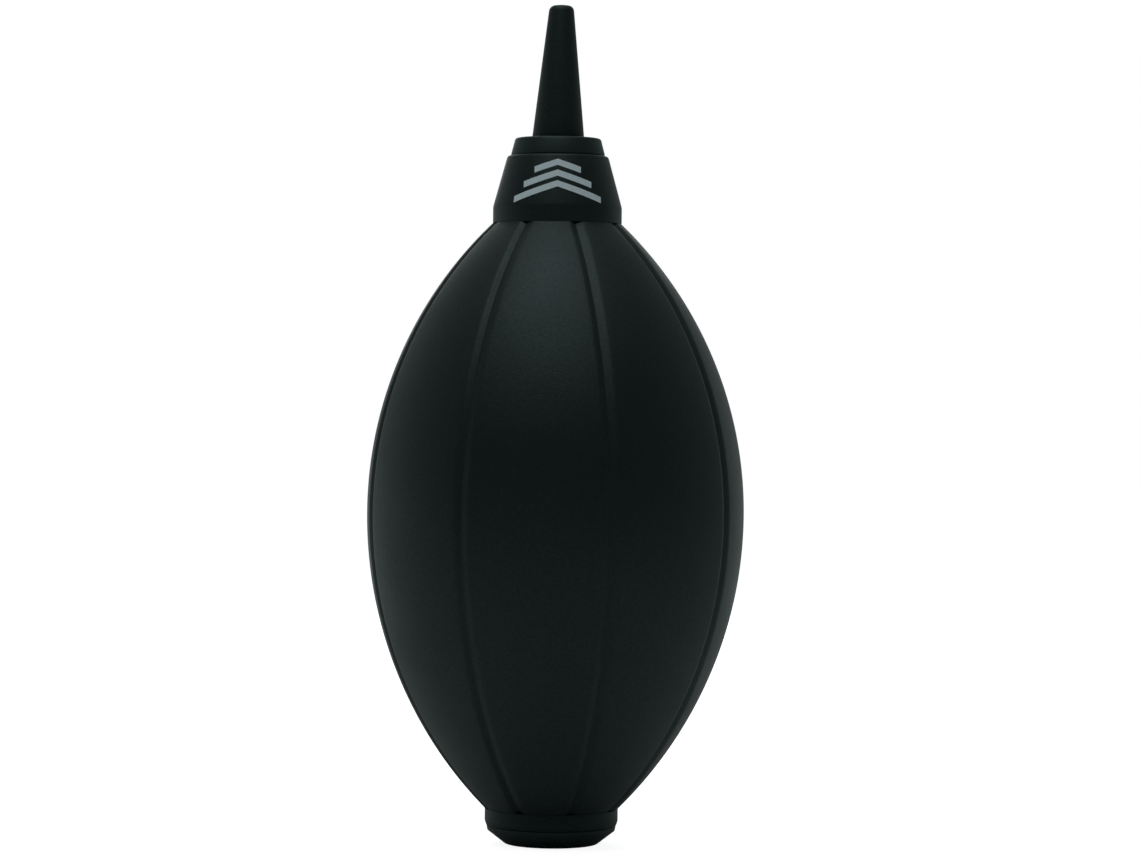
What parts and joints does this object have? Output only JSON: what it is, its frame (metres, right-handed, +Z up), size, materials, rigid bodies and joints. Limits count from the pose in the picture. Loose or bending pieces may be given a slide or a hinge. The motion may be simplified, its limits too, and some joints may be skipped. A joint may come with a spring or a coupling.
{
  "type": "dust blower bulb",
  "caption": "Hand-squeezed rubber air blower: lobed bulb with a grooved wall, conical nozzle on a push-in collar, and a one-way air inlet in its flat foot.",
  "frame": {"origin": "centre of the flat foot, on the surface that the blower stands on", "axes": "+Z up along the bulb's axis to the nozzle tip; -Y is the front, the middle of the panel that carries the mark; +X to the front's right"},
  "size_m": [0.0672, 0.0672, 0.15],
  "materials": {
    "bulb_rubber": "matt moulded rubber, satin sheen",
    "nozzle_silicone": "matt moulded silicone",
    "plug_plastic": "matt moulded plastic",
    "valve_plastic": "satin moulded plastic",
    "flap_silicone": "translucent soft silicone",
    "filter_foam": "open-cell foam"
  },
  "bodies": {
    "bulb": {"bulb": "bulb_rubber", "outlet_plug": "plug_plastic", "outlet_cage": "valve_plastic", "outlet_seat": "valve_plastic", "valve_body": "valve_plastic", "valve_cage": "valve_plastic", "filter_disc": "filter_foam", "inlet_grille": "valve_plastic"},
    "front_wall": {"front_wall": "bulb_rubber"},
    "rear_wall": {"rear_wall": "bulb_rubber"},
    "nozzle": {"nozzle": "nozzle_silicone"},
    "inlet_flap": {"inlet_flap": "flap_silicone"},
    "outlet_flap": {"outlet_flap": "flap_silicone"}
  },
  "joints": [
    {"name": "front_squeeze", "type": "slide", "parent": "bulb", "child": "front_wall", "axis": [0, 1, 0], "range_m": [0, 0.016], "stiffness_N_per_m": 600},
    {"name": "rear_squeeze", "type": "slide", "parent": "bulb", "child": "rear_wall", "axis": [0, -1, 0], "range_m": [0, 0.016]},
    {"name": "nozzle_pull_off", "type": "slide", "parent": "bulb", "child": "nozzle", "axis": [0, 0, 1], "range_m": [0, 0.008]},
    {"name": "inlet_flap_lift", "type": "slide", "parent": "bulb", "child": "inlet_flap", "axis": [0, 0, 1], "range_m": [0, 0.0012]},
    {"name": "outlet_flap_lift", "type": "slide", "parent": "bulb", "child": "outlet_flap", "axis": [0, 0, 1], "range_m": [0, 0.0011]}
  ],
  "couplings": [
    {"joint": "rear_squeeze", "follows": "front_squeeze", "ratio": 1}
  ]
}
